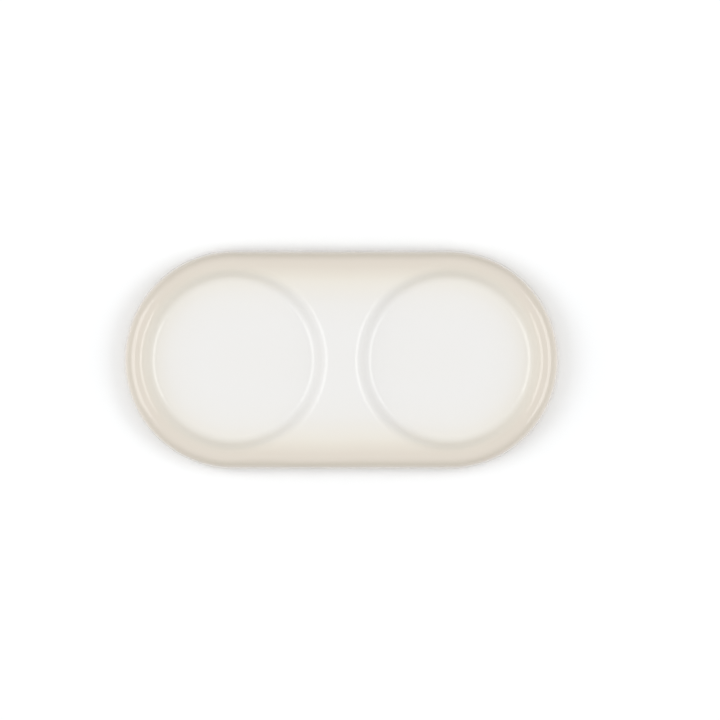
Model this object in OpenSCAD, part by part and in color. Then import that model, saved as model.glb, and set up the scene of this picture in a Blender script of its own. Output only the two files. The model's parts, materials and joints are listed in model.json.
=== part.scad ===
// Mill tray: a glazed stoneware tray with two round wells, one for a salt mill and one for a pepper mill.
// One fired clay body carries two fused coats of glaze, parted by the bare ring that the tray stands on.
// Millimetres. +X runs along the tray, +Z is up, and the origin is on the table under the tray's middle.

/* [Wells] */
// Diameter of the base of the mill that stands in a well
mill_base_d = 63.5; // [40:0.5:90]
// Free space between the mill's base and the edge of the flat bed
mill_gap = 1.7; // [0.5:0.1:6]
// Radius of the hollow curve from the bed up into the wall
bed_r = 4.7; // [2:0.1:8]
// Slope of the wall between its two curves, in degrees from level
wall_slope = 52; // [30:1:75]
// Length of the straight slope between the two curves
wall_straight = 1.65; // [0.4:0.05:5]
// Radius of the rounded lip from the wall over onto the top
lip_r = 4.9; // [2:0.1:8]

/* [Top and rim] */
// Flat width between the lips of the two wells
bridge_w = 10.3; // [2:0.1:40]
// Flat width between a lip and the crown of the rim, round the ends
rim_land = 0.2; // [0.2:0.1:8]
// Radius of the gentle crown along the top of the rim
crown_r = 6.6; // [5:0.1:15]
// Angle that the crown turns through on its way to the shoulder, in degrees
crown_turn = 21; // [5:1:35]
// Radius of the tighter shoulder between the crown and the outside wall
shoulder_r = 3.9; // [2:0.1:4.8]
// Outward lean of the outside wall, in degrees from upright
wall_draft = 4; // [1:0.5:10]

/* [Underside] */
// Thickness of the floor of a well, glaze included
floor_t = 5.5; // [3.5:0.1:10]
// Height of the hollow under the floor
hollow_h = 4.5; // [4:0.1:9]
// Radius between the roof of the hollow and its wall
hollow_r = 3; // [1:0.1:3.6]
// Inward lean of the hollow's wall, in degrees from upright
hollow_draft = 8; // [2:1:20]
// Thickness of the clay wall where it meets the table
foot_w = 5.5; // [4:0.1:9]
// Rounding on both edges of the bare foot
foot_edge_r = 1; // [0.4:0.1:1.4]

/* [Glaze] */
// Thickness of the glaze
glaze_t = 0.5; // [0.3:0.05:0.8]
// Height of upright bare clay left between the foot's rounding and the glaze
bare_h = 0.4; // [0.2:0.1:1.5]

/* [Hidden] */
$fn = 180;

// Round corners stand this much proud of the lines they run into, so that outlines cross cleanly
proud = 0.001;
// Cutting shapes reach this far past the faces they cut
over = 2;

// Heights of the finished, glazed surfaces
well_depth = (bed_r + lip_r) * (1 - cos(wall_slope)) + wall_straight * sin(wall_slope);
bed_z = hollow_h + floor_t;
tray_h = bed_z + well_depth;

// Plan of the finished surfaces, measured out from the centre of a well
bed_x = mill_base_d / 2 + mill_gap;
lip_x = bed_x + (bed_r + lip_r) * sin(wall_slope) + wall_straight * cos(wall_slope);
well_pitch = 2 * lip_x + bridge_w;

function polar(radius, angle) = radius * [cos(angle), sin(angle)];

// Centres of the rim's two curves, in line with the point where the crown runs into the shoulder
crown_end = 90 - crown_turn;
crown_c = [lip_x + rim_land, tray_h - crown_r];
shoulder_c = crown_c + polar(crown_r - shoulder_r, crown_end);

// The outside wall runs down from the shoulder: how far out it is at height z, t under the finished surface
function wall_x(z, t) = shoulder_c.x
    + (shoulder_r - t - (z - shoulder_c.y) * sin(wall_draft)) / cos(wall_draft);

// Centre of the curve on the foot's outer edge, with the radius that glaze over it would have
foot_r = foot_edge_r + glaze_t;
foot_c = [wall_x(foot_edge_r, glaze_t) - foot_edge_r / cos(wall_draft), foot_edge_r];

// Roof of the hollow: its flat reaches this far out, so that the clay foot is foot_w thick on the table
hollow_wall_r = hollow_r + glaze_t;
hollow_rise = hollow_h - hollow_r + hollow_wall_r * sin(hollow_draft);
roof_x = wall_x(0, glaze_t) - foot_w - hollow_rise * tan(hollow_draft) - hollow_wall_r * cos(hollow_draft);

// Centre of the curve on the foot's inner edge
foot_in_x = roof_x + (hollow_wall_r + foot_edge_r + (hollow_h - hollow_r - foot_edge_r) * sin(hollow_draft))
    / cos(hollow_draft);

// The glaze stops here, above the foot's rounding
glaze_line = foot_edge_r * (1 + sin(wall_draft)) + bare_h;

// Half section of a hollow that opens upward: a flat bed, a hollow curve, a straight slope and a rounded lip.
// The two curves are given by their centres, and the slope is in degrees from level.
module dish_section(bed_centre, bed_radius, lip_centre, lip_radius, slope) {
    bed_level = bed_centre.y - bed_radius;
    mouth = lip_centre.y + lip_radius + over;
    difference() {
        union() {
            polygon([
                [0, bed_level],
                [bed_centre.x, bed_level],
                bed_centre,
                bed_centre + polar(bed_radius, slope - 90),
                lip_centre + polar(lip_radius, slope + 90),
                lip_centre,
                [lip_centre.x, mouth],
                [0, mouth]
            ]);
            translate(bed_centre) circle(r = bed_radius + proud);
        }
        translate(lip_centre) circle(r = lip_radius + proud);
    }
}

// Half section of the tray without its hollows, t under the finished surface
module outer_section(t) {
    crown_radius = crown_r - t;
    shoulder_radius = shoulder_r - t;
    foot_radius = foot_r - t;
    polygon([
        [0, foot_c.y - foot_radius],
        [foot_c.x, foot_c.y - foot_radius],
        foot_c,
        foot_c + polar(foot_radius, wall_draft),
        shoulder_c + polar(shoulder_radius, wall_draft),
        shoulder_c,
        crown_c + polar(crown_radius, crown_end),
        crown_c + polar(crown_radius, 90),
        [0, tray_h - t]
    ]);
    // The crown stands proud of the flat top, and the shoulder stands proud of the crown
    intersection() {
        translate(crown_c) circle(r = crown_radius + proud);
        polygon([
            crown_c,
            crown_c + polar(2 * crown_r, crown_end),
            crown_c + polar(2 * crown_r, 180 - crown_end)
        ]);
    }
    translate(shoulder_c) circle(r = shoulder_radius + 2 * proud);
    translate(foot_c) circle(r = foot_radius + proud);
}

// Sweeps a half section round the tray's plan: straight sides between two half-round ends
module round_the_plan() {
    for (side = [-1, 1])
        translate([side * well_pitch / 2, 0, 0])
            rotate(-90 * side)
                rotate_extrude(angle = 180) children();
    rotate([90, 0, 90])
        linear_extrude(well_pitch, center = true) {
            children();
            mirror([1, 0]) children();
        }
}

// The space of both wells, t under the finished surface
module wells(t) {
    for (side = [-1, 1])
        translate([side * well_pitch / 2, 0, 0])
            rotate_extrude()
                dish_section(
                    [bed_x, bed_z + bed_r], bed_r + t,
                    [lip_x, tray_h - lip_r], lip_r - t,
                    wall_slope
                );
}

// The space under the floor, t under the finished surface
module hollow(t) {
    round_the_plan()
        mirror([0, 1])
            dish_section(
                [roof_x, hollow_r - hollow_h], hollow_r + t,
                [foot_in_x, -foot_edge_r], foot_r - t,
                90 - hollow_draft
            );
}

// The tray with its wells and a solid underside, t under the finished surface
module domed_form(t) {
    difference() {
        round_the_plan() outer_section(t);
        wells(t);
    }
}

// Everything above the line where the glaze stops
module glazed_zone() {
    side = 2 * well_pitch + 4 * shoulder_c.x;
    translate([-side / 2, -side / 2, glaze_line]) cube([side, side, tray_h]);
}

// Fired clay: the whole tray under its glaze, down to the bare foot
module stoneware_body() {
    color("wheat")
        difference() {
            domed_form(glaze_t);
            hollow(glaze_t);
        }
}

// Glaze over the wells, the top, the rim and the outside wall
module face_glaze() {
    color("linen")
        difference() {
            intersection() {
                domed_form(0);
                glazed_zone();
            }
            domed_form(glaze_t);
        }
}

// Glaze over the roof and wall of the hollow underneath
module base_glaze() {
    color("whitesmoke")
        difference() {
            intersection() {
                hollow(glaze_t);
                glazed_zone();
            }
            hollow(0);
        }
}

stoneware_body();
face_glaze();
base_glaze();
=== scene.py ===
# %% [markdown]
# # A glazed tray for a salt mill and a pepper mill
#
# The real tray is one piece of fired clay with two shallow round wells. A glossy glaze covers it, white in
# the middle and sprayed with warm beige towards the edge. Only the narrow foot that it stands on is bare
# clay.
#
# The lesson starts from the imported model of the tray, which fixes every size and place. Each step says what
# the piece is on the real tray, how it could be made in Blender, and why it is made the way it is here.

import json
import math

import bmesh
import bpy
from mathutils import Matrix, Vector


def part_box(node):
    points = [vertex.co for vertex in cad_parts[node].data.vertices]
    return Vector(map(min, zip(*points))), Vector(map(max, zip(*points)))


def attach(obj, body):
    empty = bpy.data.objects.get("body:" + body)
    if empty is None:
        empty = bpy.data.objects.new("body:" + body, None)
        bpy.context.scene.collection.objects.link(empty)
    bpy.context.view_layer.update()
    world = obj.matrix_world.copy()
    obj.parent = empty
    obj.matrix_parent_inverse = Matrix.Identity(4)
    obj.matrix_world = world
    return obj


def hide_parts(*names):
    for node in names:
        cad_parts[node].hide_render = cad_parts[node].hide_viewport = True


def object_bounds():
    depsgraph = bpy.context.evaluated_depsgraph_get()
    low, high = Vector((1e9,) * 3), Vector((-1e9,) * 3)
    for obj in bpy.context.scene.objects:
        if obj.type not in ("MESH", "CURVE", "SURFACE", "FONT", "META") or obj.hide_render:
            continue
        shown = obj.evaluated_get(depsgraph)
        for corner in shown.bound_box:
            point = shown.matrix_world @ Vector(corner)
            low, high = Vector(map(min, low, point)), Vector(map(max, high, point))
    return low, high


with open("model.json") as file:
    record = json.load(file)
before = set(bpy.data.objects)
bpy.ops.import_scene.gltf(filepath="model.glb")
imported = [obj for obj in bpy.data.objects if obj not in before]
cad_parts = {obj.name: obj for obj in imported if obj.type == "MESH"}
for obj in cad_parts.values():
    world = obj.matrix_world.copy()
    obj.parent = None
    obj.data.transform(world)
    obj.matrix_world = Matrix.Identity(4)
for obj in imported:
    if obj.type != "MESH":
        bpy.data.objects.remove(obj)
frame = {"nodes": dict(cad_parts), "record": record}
cad_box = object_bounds()
MM = 0.001


def in_mm(values):
    """Lengths in metres as millimetres, short enough to print."""
    return [round(v / MM, 2) for v in values]


print("packed nodes:", sorted(frame["nodes"]))
print("packed box in mm:", in_mm(cad_box[0]), "to", in_mm(cad_box[1]))

# %% [markdown]
# ## Sizes
#
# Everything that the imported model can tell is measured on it: heights, the thickness of the glaze, and the
# place of a well from the flat bed that a mill stands on. A box can't show a curve, so the radii and slopes
# of the section are written out here, once, under the names that a potter's drawing would use.

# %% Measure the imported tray
right_bed = next(m for m in frame["record"]["mounts"] if m["name"] == "right_well_bed")
well_x, _, bed_z = right_bed["pos_m"]
face_low, face_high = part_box("face_glaze")
_, clay_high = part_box("stoneware_body")
_, base_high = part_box("base_glaze")
tray_top = face_high.z
glaze_line = face_low.z
glaze_thick = tray_top - clay_high.z
roof_z = base_high.z - glaze_thick
print("well centre, bed, top, glaze line, glaze, roof in mm:",
      in_mm([well_x, bed_z, tray_top, glaze_line, glaze_thick, roof_z]))

# %% Name the curves of the section
bed_curve = 4.7 * MM
lip_curve = 4.9 * MM
wall_slope = math.radians(52)
bridge_width = 10.3 * MM
rim_land = 0.2 * MM
crown_curve = 6.6 * MM
crown_turn = math.radians(21)
shoulder_curve = 3.9 * MM
wall_lean = math.radians(4)
hollow_curve = 3.0 * MM
hollow_lean = math.radians(8)
foot_edge = 1.0 * MM
foot_width = 5.5 * MM

lip_x = well_x - bridge_width / 2
curves = bed_curve + lip_curve
wall_straight = (tray_top - bed_z - curves * (1 - math.cos(wall_slope))) / math.sin(wall_slope)
bed_x = lip_x - curves * math.sin(wall_slope) - wall_straight * math.cos(wall_slope)
crest_x = lip_x + rim_land
shoulder_x = crest_x + (crown_curve - shoulder_curve) * math.sin(crown_turn)
shoulder_z = tray_top - crown_curve + (crown_curve - shoulder_curve) * math.cos(crown_turn)
print("flat bed, lip and crest of the rim reach out in mm:", in_mm([bed_x, lip_x, crest_x]))

# %% [markdown]
# ## The section of the tray
#
# Cut the tray across and the edge of the cut is a chain of arcs: up from the bed, over the lip, across a
# gentle crown, round the tighter shoulder of the rim, down the wall and round the foot. The glaze follows
# the clay at one thickness, so both faces of a coat share the centres of their arcs, and only the radius
# changes. That is why each stretch below takes a depth under the glazed surface: depth 0 gives the glaze's
# own face, and the thickness of the glaze gives the clay under it.

# %% Write the stretches of the section
ARC_STEPS = 16


def arc(centre, radius, start, end, steps=ARC_STEPS):
    """Points on an arc between two angles in radians, both ends included."""
    turns = [start + (end - start) * i / steps for i in range(steps + 1)]
    return [(centre[0] + radius * math.cos(t), centre[1] + radius * math.sin(t)) for t in turns]


QUARTER = math.pi / 2


def wall_out(z, depth):
    """How far out the leaning outside wall is at a height, some depth under the glaze's face."""
    under_shoulder = (shoulder_z - z) * math.sin(wall_lean)
    return shoulder_x + (shoulder_curve - depth + under_shoulder) / math.cos(wall_lean)


def well_section(depth):
    """From the edge of the flat bed up the wall of a well and over its lip."""
    up = arc((bed_x, bed_z + bed_curve), bed_curve + depth, -QUARTER, wall_slope - QUARTER)
    over = arc((lip_x, tray_top - lip_curve), lip_curve - depth, wall_slope + QUARTER, QUARTER)
    return up + over


def rim_section(depth):
    """From the crest of the rim over its gentle crown and tighter shoulder to the top of the outside wall."""
    crown_end = QUARTER - crown_turn
    crown = arc((crest_x, tray_top - crown_curve), crown_curve - depth, QUARTER, crown_end)
    shoulder = arc((shoulder_x, shoulder_z), shoulder_curve - depth, crown_end, wall_lean)
    return crown + shoulder[1:]


print("well section has", len(well_section(0)), "points, rim section", len(rim_section(0)))

# %% Write the stretches of the underside
clay_foot_out = wall_out(0, glaze_thick)
hollow_rise = roof_z - hollow_curve + (hollow_curve + glaze_thick) * math.sin(hollow_lean)
roof_x = (clay_foot_out - foot_width - hollow_rise * math.tan(hollow_lean)
          - (hollow_curve + glaze_thick) * math.cos(hollow_lean))
foot_out_x = wall_out(foot_edge, glaze_thick) - foot_edge / math.cos(wall_lean)
foot_in_x = roof_x + (hollow_curve + glaze_thick + foot_edge
                      + (roof_z - hollow_curve - foot_edge) * math.sin(hollow_lean)) / math.cos(hollow_lean)


def hollow_out(z, depth):
    """How far out the wall of the hollow underneath is at a height."""
    drop = z - roof_z + hollow_curve
    return roof_x + (hollow_curve + depth - drop * math.sin(hollow_lean)) / math.cos(hollow_lean)


def roof_section(depth):
    """From the wall of the hollow up into its flat roof."""
    return arc((roof_x, roof_z - hollow_curve), hollow_curve + depth, hollow_lean, QUARTER)


def foot_section():
    """Round the bare foot, from the outside wall to the wall of the hollow."""
    outside = arc((foot_out_x, foot_edge), foot_edge, wall_lean, -QUARTER)
    inside = arc((foot_in_x, foot_edge), foot_edge, -QUARTER, hollow_lean - 2 * QUARTER)
    return outside + inside


print("roof reach and flat of the foot in mm:", in_mm([roof_x, foot_in_x, foot_out_x]))

# %% [markdown]
# ## The plan of the tray
#
# Seen from above the tray is a straight middle between two half-round ends. A lathe-like spin would make
# the wells but not the straight sides, and a boolean would leave long thin triangles where the two meet. So
# one half is laid out as stations round the plan, and every row of vertices has one vertex for each
# station. Along the edge a station is a point on the tray's middle line and the way out from it. Across the
# middle of the tray there is nothing to go out to, so those stations only share out the cut, which the
# mirrored half then meets.

# %% Lay out the stations of one half
SIDE_STEPS = 26
END_STEPS = 104
MIDDLE_STEPS = 40

front_side = [(well_x * i / SIDE_STEPS, 0.0, -1.0) for i in range(SIDE_STEPS)]
end_turns = [-QUARTER + 2 * QUARTER * i / END_STEPS for i in range(END_STEPS + 1)]
round_end = [(well_x, math.cos(t), math.sin(t)) for t in end_turns]
back_side = [(x, 0.0, 1.0) for x, _, _ in reversed(front_side)]
middle_cut = [(0.0, 0.0, 1 - 2 * i / MIDDLE_STEPS) for i in range(1, MIDDLE_STEPS)]
edge_stations = front_side + round_end + back_side
stations = edge_stations + middle_cut
print("stations:", len(edge_stations), "along the edge and", len(middle_cut), "across the middle")

# %% Turn stations into rows of points


def edge_row(reach, z, along=stations):
    """A row that runs round the plan at one distance out from the middle line."""
    return [Vector((x + out_x * reach, out_y * reach, z)) for x, out_x, out_y in along]


def round_row(radius, z):
    """A row that runs round a well, with each point on the way to its station on the rim's crest."""
    centre = Vector((well_x, 0, z))
    return [centre + (p - centre).normalized() * radius for p in edge_row(crest_x, z)]


def rows_between(inner, outer, shares):
    """Rows part of the way from one row to another."""
    return [[a.lerp(b, s) for a, b in zip(inner, outer)] for s in shares]


def rows_to_centre(row, shares):
    """Rows from the middle of a well out to a row on a flat, starting with one point."""
    centre = Vector((well_x, 0, row[0].z))
    return [[centre]] + rows_between([centre] * len(row), row, shares)


print("a row has", len(round_row(lip_x, tray_top)), "points")

# %% [markdown]
# ## From rows to a closed piece
#
# Neighbouring rows are joined by quads. Some rows go all the way round and some only along the edge, so a
# pair is joined along the stations that both have. Each piece goes out along one face and back along the
# other, which closes it without a separate cap. A Mirror modifier makes the second half and welds the two
# along the middle: half the points to make, and the two wells can't differ.

# %% Join rows by faces


def join_rows(mesh, inner, outer):
    """Quads between two rows of vertices, or triangles from a single point to a row."""
    whole = len(inner) != len(edge_stations) and len(outer) != len(edge_stations)
    count = len(stations) if whole else len(edge_stations) - 1
    for i in range(count):
        j = (i + 1) % len(stations)
        if len(inner) == 1:
            mesh.faces.new((inner[0], outer[i], outer[j]))
        elif len(outer) == 1:
            mesh.faces.new((inner[i], outer[0], inner[j]))
        else:
            mesh.faces.new((inner[i], outer[i], outer[j], inner[j]))


print("two whole rows are joined by", len(stations), "faces")

# %% Make a closed half and mirror it
weld = 0.001 * MM


def closed_piece(name, rows):
    """A smooth closed mesh object from rows of points, mirrored across the middle of the tray."""
    mesh = bmesh.new()
    made = [[mesh.verts.new(p) for p in row] for row in rows]
    for inner, outer in zip(made, made[1:]):
        join_rows(mesh, inner, outer)
    for face in mesh.faces:
        face.smooth = True
    data = bpy.data.meshes.new(name)
    mesh.to_mesh(data)
    mesh.free()
    piece = bpy.data.objects.new(name, data)
    bpy.context.scene.collection.objects.link(piece)
    mirror = piece.modifiers.new("other_half", "MIRROR")
    mirror.merge_threshold = weld
    return piece


print("the halves weld where they are within", weld / MM, "mm")

# %% Measure a piece
CM = 0.01


def report(piece):
    """Prints what a piece measures, both halves included."""
    seen = piece.evaluated_get(bpy.context.evaluated_depsgraph_get())
    shape = bmesh.new()
    shape.from_mesh(seen.to_mesh())
    open_edges = sum(1 for e in shape.edges if not e.is_manifold)
    print(piece.name, "faces:", len(shape.faces), "open edges:", open_edges,
          "volume in cm3:", round(shape.calc_volume() / CM ** 3, 2))
    shape.free()


print("each piece is measured as soon as it is made")

# %% [markdown]
# ## The face of the tray
#
# The top skin starts as one point in the middle of a bed, runs out over the wall, the lip and the flat top,
# and then down round the rim. A row close beside each end of a flat keeps it flat: without it the shading
# of the curve would bleed across to the next row. The same chain is used twice, for the glaze and for the
# clay under it.

# %% Make the rows of the top skin
BED_SHARES = (0.15, 0.35, 0.55, 0.75, 0.9, 0.985)
TOP_SHARES = (0.03, 0.35, 0.65, 0.97)
WALL_SHARES = (0.1, 0.5, 0.9, 1.0)


def top_rows(depth):
    """Rows from the middle of a bed out to the crest of the rim."""
    section = well_section(depth)
    bed = rows_to_centre(round_row(*section[0]), BED_SHARES)
    wall = [round_row(*point) for point in section]
    crest = edge_row(crest_x, tray_top - depth)
    return bed + wall + rows_between(wall[-1], crest, TOP_SHARES) + [crest]


def rim_rows(depth, low):
    """Rows along the edge, from just past the rim's crest down the wall to a height."""
    round_part = [edge_row(*point, along=edge_stations) for point in rim_section(depth)[1:]]
    top = rim_section(depth)[-1][1]
    heights = [top + (low - top) * s for s in WALL_SHARES]
    return round_part + [edge_row(wall_out(z, depth), z, edge_stations) for z in heights]


print("rows of the top skin:", len(top_rows(0)), "and of the rim:", len(rim_rows(0, glaze_line)))

# %% Make the face glaze
BEAD_STEPS = 8
bead = glaze_thick / 2
bead_z = glaze_line + bead


def bead_rows(centre, start):
    """Rows round the soft lower edge of a coat of glaze, a half turn from its face to the clay."""
    points = arc(centre, bead, start, start - 2 * QUARTER, BEAD_STEPS)[1:-1]
    return [edge_row(*point, along=edge_stations) for point in points]


face_bead = bead_rows((wall_out(bead_z, bead), bead_z), wall_lean)
face_rows = top_rows(0) + rim_rows(0, bead_z) + face_bead
face_rows += list(reversed(top_rows(glaze_thick) + rim_rows(glaze_thick, bead_z)))
face_glaze = closed_piece("glazed_face", face_rows)
report(face_glaze)

# %% [markdown]
# ## The underside
#
# Nobody looks under a tray until they pick it up, but it is glazed there too: a kiln shelf only touches the
# foot, so the potter wipes the foot bare and leaves the hollow inside it glazed. The coat is made like the
# face, with its hidden side first, so that its faces point outwards.

# %% Make the base glaze
ROOF_SHARES = (0.2, 0.4, 0.6, 0.8, 0.95, 0.99)


def hollow_rows(depth, low):
    """Rows from the middle of the roof of the hollow down its wall to a height."""
    section = list(reversed(roof_section(depth)))
    flat = rows_to_centre(edge_row(*section[0]), ROOF_SHARES)
    flat.append(edge_row(*section[0]))
    curve = [edge_row(*point, along=edge_stations) for point in section[1:]]
    foot = [edge_row(hollow_out(low, depth), low, edge_stations)]
    return flat + curve + foot


base_bead = bead_rows((hollow_out(bead_z, bead), bead_z), hollow_lean)
base_rows = hollow_rows(glaze_thick, bead_z) + base_bead
base_rows += list(reversed(hollow_rows(0, bead_z)))
base_glaze = closed_piece("glazed_base", base_rows)
report(base_glaze)

# %% [markdown]
# ## The clay
#
# Under both coats is the clay itself. All that shows of it is the foot: a band of bare stoneware with
# softened edges. It is still made whole, so that the piece is a true solid and the foot belongs to
# something.

# %% Make the stoneware body
foot_rows = [edge_row(*point, along=edge_stations) for point in foot_section()]
body_rows = top_rows(glaze_thick) + rim_rows(glaze_thick, bead_z) + foot_rows
body_rows += list(reversed(hollow_rows(glaze_thick, bead_z)))
stoneware = closed_piece("stoneware", body_rows)
report(stoneware)

# %% [markdown]
# ## Riding on the frame
#
# The three pieces stand for the three imported nodes. Nothing on the tray moves, so all of them ride on the
# one body.

# %% Put the pieces on the frame
for piece, node, slot in ((face_glaze, "face_glaze", "face_glaze"),
                          (base_glaze, "base_glaze", "base_glaze"),
                          (stoneware, "stoneware_body", "bare_stoneware")):
    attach(piece, "root")
    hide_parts(node)
    print(piece.name, "replaces", node)

# %% [markdown]
# ## Helpers for the finishes
#
# A finish is a chain of shader nodes. Wiring each by hand is long, so one helper adds a node, sets what is
# constant on it and links what isn't, and another does the arithmetic.

# %% Write the shader helpers


def new_finish(name):
    """A material with nothing but its shader and its output."""
    material = bpy.data.materials.new(name)
    material.use_nodes = True
    return material, material.node_tree, material.node_tree.nodes["Principled BSDF"]


def add(tree, kind, settings=(), **inputs):
    """Adds a node. An input given as a socket is linked, any other is set. _0 and _1 are inputs by number."""
    node = tree.nodes.new(kind)
    for name, value in dict(settings).items():
        setattr(node, name, value)
    for name, value in inputs.items():
        socket = node.inputs[int(name[1:]) if name.startswith("_") else name]
        if isinstance(value, bpy.types.NodeSocket):
            tree.links.new(value, socket)
        else:
            socket.default_value = value
    return node


def sums(tree, operation, first, second=0.0):
    """The result of one arithmetic step."""
    return add(tree, "ShaderNodeMath", {"operation": operation}, _0=first, _1=second).outputs[0]


def ramp(tree, value, stops):
    """A colour ramp through stops of (place, colour)."""
    node = add(tree, "ShaderNodeValToRGB", Fac=value)
    node.color_ramp.interpolation = "CARDINAL"
    points = node.color_ramp.elements
    while len(points) < len(stops):
        points.new(0.5)
    for point, (place, colour) in zip(points, stops):
        point.position = place
        point.color = (*colour, 1.0)
    return node.outputs["Color"]


print("shader helpers are ready")

# %% [markdown]
# ## The waviness of a melted glaze
#
# A glaze is sprayed on as wet powder and melts in the kiln, so its face is never quite flat. The waves are
# a few millimetres long and some hundredths of a millimetre deep, far too shallow to model as a mesh, and
# only show where a reflection wobbles. A bump map is the right tool for that: it turns the light without
# moving the surface.

# %% Write the finish that both coats of glaze share
GLAZE_IOR = 1.52
WAVES_PER_METRE = 350.0
wave_depth = 0.04 * MM


def melted_look(tree, shader, place):
    """Gives a glaze its shallow waves and the strength of its reflections."""
    waves = add(tree, "ShaderNodeTexNoise", Vector=place, Scale=WAVES_PER_METRE, Detail=1.0).outputs["Fac"]
    bump = add(tree, "ShaderNodeBump", Height=waves, Strength=1.0, Distance=wave_depth).outputs[0]
    tree.links.new(bump, shader.inputs["Normal"])
    shader.inputs["IOR"].default_value = GLAZE_IOR


print("glaze waves about", round(1 / WAVES_PER_METRE / MM, 1), "mm long")

# %% [markdown]
# ## The sprayed glaze
#
# The tray is dipped in white and then sprayed beige from outside, so the colour depends on how far a point
# is from the tray's middle line, and it fades softly with no edge. A painted picture could hold that fade,
# but a formula is sharper and shorter: the shader takes the object's own coordinates, measures that
# distance and reads the colour from a ramp. A spray also drifts, so a little noise moves the fade to and
# fro. Near the edge the ramp also holds painted shade, a darker band on the shoulder of the rim, and
# painted light, a lighter outside wall.
#
# The wells lie low behind their lips, where less of the spray lands. So inside a well a second ramp, which
# runs up from the bed to the top, tells how sheltered a point is and moves the fade outwards by that much.
# That ramp also paints shade and light on the wall of a well: the foot of the wall comes out darker, partly
# as the spray and partly as painted shade, and its upper part comes out lighter, as painted light.

# %% Measure how far out a point of the glaze is
spray_drift = 1.2 * MM
DRIFT_PER_METRE = 38.0

glaze, tree, shader = new_finish("sprayed_glaze")
place = add(tree, "ShaderNodeTexCoord").outputs["Object"]
split = add(tree, "ShaderNodeSeparateXYZ", Vector=place).outputs
past_well = sums(tree, "MAXIMUM", sums(tree, "SUBTRACT", sums(tree, "ABSOLUTE", split["X"]), well_x), 0.0)
from_middle = add(tree, "ShaderNodeCombineXYZ", X=past_well, Y=split["Y"]).outputs[0]
distance = add(tree, "ShaderNodeVectorMath", {"operation": "LENGTH"}, _0=from_middle).outputs["Value"]
cloud = add(tree, "ShaderNodeTexNoise", Vector=place, Scale=DRIFT_PER_METRE, Detail=2.0).outputs["Fac"]
wander = sums(tree, "MULTIPLY", sums(tree, "SUBTRACT", cloud, 0.5), 2 * spray_drift)
sprayed_at = sums(tree, "ADD", distance, wander)
print("the spray drifts by up to", in_mm([spray_drift]), "mm")

# %% Shelter the wells from the spray, with painted shade and light on their walls
# Past the bed the ramp dips low at the foot of the wall and rises again higher up: painted shade at the foot,
# on top of the spray's own shelter, and painted light on the upper wall.
SHELTER_AND_PAINTED_SHADE_STOPS = ((0.0, 1.0), (0.2, 0.5), (0.5, 0.55), (0.7, 0.65), (0.92, 0.2), (1.0, 0.0))
bed_shelter = 3.5 * MM

well_rise = {"From Min": bed_z, "From Max": tray_top}
rise = add(tree, "ShaderNodeMapRange", Value=split["Z"], **well_rise).outputs[0]
in_well = sums(tree, "LESS_THAN", distance, crest_x)
shelter_and_painted_shade = sums(tree, "MULTIPLY", ramp(tree, rise, [(at, (s, s, s)) for at, s in SHELTER_AND_PAINTED_SHADE_STOPS]), in_well)
reach = sums(tree, "SUBTRACT", sprayed_at, sums(tree, "MULTIPLY", shelter_and_painted_shade, bed_shelter))
print("a bed gets the spray of a place", in_mm([bed_shelter]), "mm further in")

# %% Colour the glaze
WHITE_GLAZE = (0.826, 0.819, 0.802)
# The stops darken towards the edge as the spray thickens. The dip at 45.6 mm is painted shade on the shoulder
# of the rim, and the lighter stop at 47.2 mm is a painted reflection of the paper on the outside wall.
SPRAY_AND_PAINTED_SHADE_STOPS = ((15, WHITE_GLAZE), (26, (0.819, 0.803, 0.768)), (35, (0.803, 0.766, 0.691)),
               (40, (0.743, 0.689, 0.606)), (43.6, (0.71, 0.652, 0.573)), (45.6, (0.66, 0.607, 0.527)),
               (47.2, (0.7, 0.643, 0.566)))
ramp_end = 50 * MM
WHITE_ROUGH = 0.22
BEIGE_ROUGH = 0.08
gloss_from = 24 * MM
gloss_to = 40 * MM

spray_and_painted_shade_places = [(at * MM / ramp_end, colour) for at, colour in SPRAY_AND_PAINTED_SHADE_STOPS]
sprayed = ramp(tree, sums(tree, "DIVIDE", reach, ramp_end), spray_and_painted_shade_places)
tree.links.new(sprayed, shader.inputs["Base Color"])
gloss_fade = {"From Min": gloss_from, "From Max": gloss_to, "To Min": WHITE_ROUGH, "To Max": BEIGE_ROUGH}
gloss = add(tree, "ShaderNodeMapRange", {"interpolation_type": "SMOOTHSTEP"}, Value=reach, **gloss_fade)
tree.links.new(gloss.outputs[0], shader.inputs["Roughness"])
melted_look(tree, shader, place)
face_glaze.data.materials.append(glaze)
print("the spray goes through", len(SPRAY_AND_PAINTED_SHADE_STOPS), "colours on its way to the edge")

# %% [markdown]
# ## The other two finishes
#
# The hollow underneath is plain white glaze, a little creamier where it ran thin and a little duller where
# it ran thick. The bare foot is stoneware: a warm buff, matt, with fine dark grains of the clay showing.
# Both start from noise in the object's own coordinates, so they need no unwrapping.

# %% Finish the base glaze
CREAMY_GLAZE = (0.85, 0.828, 0.795)
CREAM_STOPS = ((0.3, WHITE_GLAZE), (0.75, CREAMY_GLAZE))
CLOUDS_PER_METRE = 45.0
THICK_ROUGH = 0.16
THIN_ROUGH = 0.09

base_finish, tree, shader = new_finish("white_glaze")
place = add(tree, "ShaderNodeTexCoord").outputs["Object"]
cloud = add(tree, "ShaderNodeTexNoise", Vector=place, Scale=CLOUDS_PER_METRE, Detail=3.0).outputs["Fac"]
tree.links.new(ramp(tree, cloud, CREAM_STOPS), shader.inputs["Base Color"])
gloss = add(tree, "ShaderNodeMapRange", Value=cloud, **{"To Min": THICK_ROUGH, "To Max": THIN_ROUGH})
tree.links.new(gloss.outputs[0], shader.inputs["Roughness"])
melted_look(tree, shader, place)
base_glaze.data.materials.append(base_finish)
print("base glaze is ready")

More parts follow.
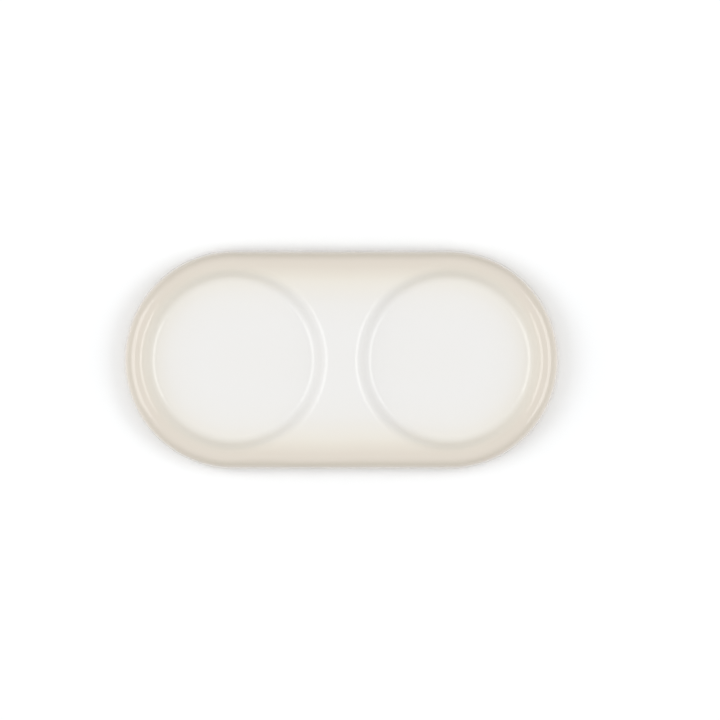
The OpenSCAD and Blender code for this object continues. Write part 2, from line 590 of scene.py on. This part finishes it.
# %% Finish the bare clay
GRAINS_PER_METRE = 1400.0
GRAIN_STOPS = ((0.25, (0.42, 0.34, 0.26)), (0.5, (0.62, 0.53, 0.42)), (0.8, (0.7, 0.62, 0.51)))
DARK_GRAIN_ROUGH = 0.92
PALE_GRAIN_ROUGH = 0.75
grain_depth = 0.15 * MM
GRAIN_STRENGTH = 0.35

clay_finish, tree, shader = new_finish("grained_clay")
place = add(tree, "ShaderNodeTexCoord").outputs["Object"]
grain = add(tree, "ShaderNodeTexNoise", Vector=place, Scale=GRAINS_PER_METRE, Detail=4.0).outputs["Fac"]
tree.links.new(ramp(tree, grain, GRAIN_STOPS), shader.inputs["Base Color"])
matt = {"To Min": DARK_GRAIN_ROUGH, "To Max": PALE_GRAIN_ROUGH}
worn = add(tree, "ShaderNodeMapRange", Value=grain, **matt)
tree.links.new(worn.outputs[0], shader.inputs["Roughness"])
bump = add(tree, "ShaderNodeBump", Height=grain, Strength=GRAIN_STRENGTH, Distance=grain_depth)
tree.links.new(bump.outputs[0], shader.inputs["Normal"])
stoneware.data.materials.append(clay_finish)
print("finishes:", glaze.name, base_finish.name, clay_finish.name)

# %% [markdown]
# ## The floor
#
# The tray was pictured on white paper, so the floor is a plain white sheet. What bounces off it lights the
# wall of the tray, and for that it is as white as good paper. To the camera and in mirror images it is a
# touch brighter and cooler, so that it reads as pure white and only the soft grey shadow round the foot
# shows. The Light Path node tells the shader which kind of ray is asking.

# %% Lay the floor
FLOOR_HALF = 3.0
PAPER_LIGHTS = (0.936, 0.936, 0.936, 1)
PAPER_SHOWS = (0.972, 0.984, 0.995, 1)
floor_mesh = bpy.data.meshes.new("paper")
corners = [(x, y, cad_box[0].z) for x, y in ((-1, -1), (1, -1), (1, 1), (-1, 1))]
floor_mesh.from_pydata([(x * FLOOR_HALF, y * FLOOR_HALF, z) for x, y, z in corners], [], [(0, 1, 2, 3)])
floor = bpy.data.objects.new("paper", floor_mesh)
bpy.context.scene.collection.objects.link(floor)

paper = bpy.data.materials.new("white_paper")
paper.use_nodes = True
tree = paper.node_tree
tree.nodes.clear()
path = add(tree, "ShaderNodeLightPath").outputs
seen = sums(tree, "MAXIMUM", path["Is Camera Ray"],
            sums(tree, "MAXIMUM", path["Is Glossy Ray"], path["Is Transmission Ray"]))
lighting = add(tree, "ShaderNodeBsdfDiffuse", Color=PAPER_LIGHTS).outputs[0]
shown = add(tree, "ShaderNodeBsdfDiffuse", Color=PAPER_SHOWS).outputs[0]
mixed = add(tree, "ShaderNodeMixShader", _0=seen, _1=lighting, _2=shown).outputs[0]
add(tree, "ShaderNodeOutputMaterial", Surface=mixed)
floor.data.materials.append(paper)
print("floor at", in_mm([cad_box[0].z]), "mm")

# %% [markdown]
# ## The light
#
# The glaze gives its light away. Thin bright lines follow the rim, the lip and the foot of the well's wall,
# but only on the left and right: a softbox hung on each side, a little over 30 degrees from straight up.
# Walls that face left or right are nearly as bright as the flat top, so a broad lamp also stood low on each
# side. The front and back edges have a dark line where the glaze mirrors the horizon, so the rest came from
# a ceiling that reaches down to the left and right, and fades to a dim horizon in front and behind. The
# world makes that ceiling, and four area lamps make the rest.
#
# Blender can hide a lamp from mirror rays. The side lamps are hidden, so they light the tray and don't show
# in it: no second line follows the lips, and nothing glares on the flat top of a tray seen from its end.

# %% Make the ceiling
CEILING = 0.64
DIM_HORIZON = 0.15
world = bpy.data.worlds.new("soft_ceiling")
bpy.context.scene.world = world
world.use_nodes = True
tree = world.node_tree
tree.nodes.clear()
way = add(tree, "ShaderNodeTexCoord").outputs["Generated"]
along, _, up = add(tree, "ShaderNodeSeparateXYZ", Vector=way).outputs
sideways = sums(tree, "MULTIPLY", along, along)
low_end = {"To Min": DIM_HORIZON, "To Max": CEILING}
horizon = add(tree, "ShaderNodeMapRange", Value=sideways, **low_end).outputs[0]
level = add(tree, "ShaderNodeMapRange", Value=up, **{"To Min": horizon, "To Max": CEILING}).outputs[0]
sky = add(tree, "ShaderNodeBackground", Color=(1, 1, 1, 1), Strength=level).outputs[0]
add(tree, "ShaderNodeOutputWorld", Surface=sky)
print("ceiling", CEILING, "fading to", DIM_HORIZON, "in front and behind")

# %% Hang the lamps
LAMP_AWAY = 1.2


def lamp(name, side, from_top, wide, deep, brightness, mirrored):
    """A rectangular lamp beside the tray, turned to face it. A brightness of 1 is that of lit white paper."""
    data = bpy.data.lights.new(name, "AREA")
    data.shape = "RECTANGLE"
    data.size = deep
    data.size_y = wide
    data.energy = math.pi * wide * deep * brightness
    hung = bpy.data.objects.new(name, data)
    tilt = math.radians(from_top)
    hung.location = (side * LAMP_AWAY * math.sin(tilt), 0, LAMP_AWAY * math.cos(tilt))
    hung.rotation_euler = (0, side * tilt, 0)
    hung.visible_camera = False
    hung.visible_glossy = mirrored
    bpy.context.scene.collection.objects.link(hung)
    print(name, "at", in_mm(hung.location))


lamp("left_softbox", -1, from_top=33, wide=0.75, deep=0.56, brightness=2.5, mirrored=True)
lamp("right_softbox", 1, from_top=32, wide=0.75, deep=0.48, brightness=2.75, mirrored=True)
lamp("left_side_lamp", -1, from_top=65, wide=1.45, deep=1.0, brightness=0.97, mirrored=False)
lamp("right_side_lamp", 1, from_top=67, wide=1.45, deep=1.0, brightness=0.89, mirrored=False)

# %% [markdown]
# ## The camera
#
# The tray is seen from straight above. A long lens far away keeps the walls from splaying, as in the
# picture, and the tray lies a little left of the middle of the frame, so the camera hangs a little to its
# right.

# %% Hang the camera
LENS = 900.0
SENSOR = 36.0
frame_wide = 315.2 * MM
to_the_right = 8.13 * MM
to_the_front = 0.08 * MM
camera_data = bpy.data.cameras.new("overhead")
camera_data.lens = LENS
camera_data.sensor_width = SENSOR
camera = bpy.data.objects.new("overhead", camera_data)
camera.location = (to_the_right, -to_the_front, frame_wide * LENS / SENSOR)
bpy.context.scene.collection.objects.link(camera)
bpy.context.scene.camera = camera
bpy.context.scene.view_settings.view_transform = "Standard"
print("camera height in mm:", in_mm([camera.location.z]))
